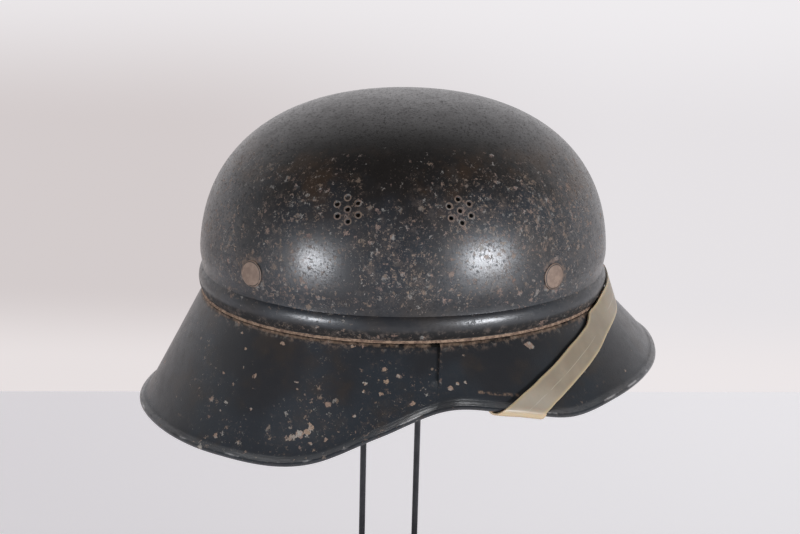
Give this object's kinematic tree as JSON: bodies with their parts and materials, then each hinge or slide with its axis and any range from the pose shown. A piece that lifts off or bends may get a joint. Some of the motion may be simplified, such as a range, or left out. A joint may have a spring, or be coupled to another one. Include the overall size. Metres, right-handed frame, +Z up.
{
  "type": "air raid helmet on a display stand",
  "caption": "Pressed-steel air raid helmet with a rolled bead, front visor, deeper neck guard, vent rosettes and a chin strap stored over the visor, on a plain two-rod display stand.",
  "frame": {"origin": "middle of the stand's foot plate, on its underside, midway between the rods", "axes": "+X towards the helmet's visor, +Y towards the wearer's left, +Z up"},
  "size_m": [0.3334, 0.2672, 0.3472],
  "materials": {
    "shell_paint": "worn blue-black gloss enamel with brown chips",
    "pin_steel": "bare worn brown",
    "strap_leather": "smooth, slightly glossy olive tan",
    "post_steel": "dull",
    "pad_plastic": "matt black",
    "stand_metal": "satin dark grey",
    "plate_metal": "satin black"
  },
  "bodies": {
    "root": {"crown": "shell_paint", "visor": "shell_paint", "neck_guard": "shell_paint", "liner_pin_front_left": "pin_steel", "liner_pin_rear_left": "pin_steel", "liner_pin_front_right": "pin_steel", "liner_pin_rear_right": "pin_steel", "chin_strap": "strap_leather", "strap_post_left": "post_steel", "strap_post_right": "post_steel", "stand_pad": "pad_plastic", "stand_rod_front": "stand_metal", "stand_rod_rear": "stand_metal", "stand_plate": "plate_metal"}
  },
  "joints": []
}
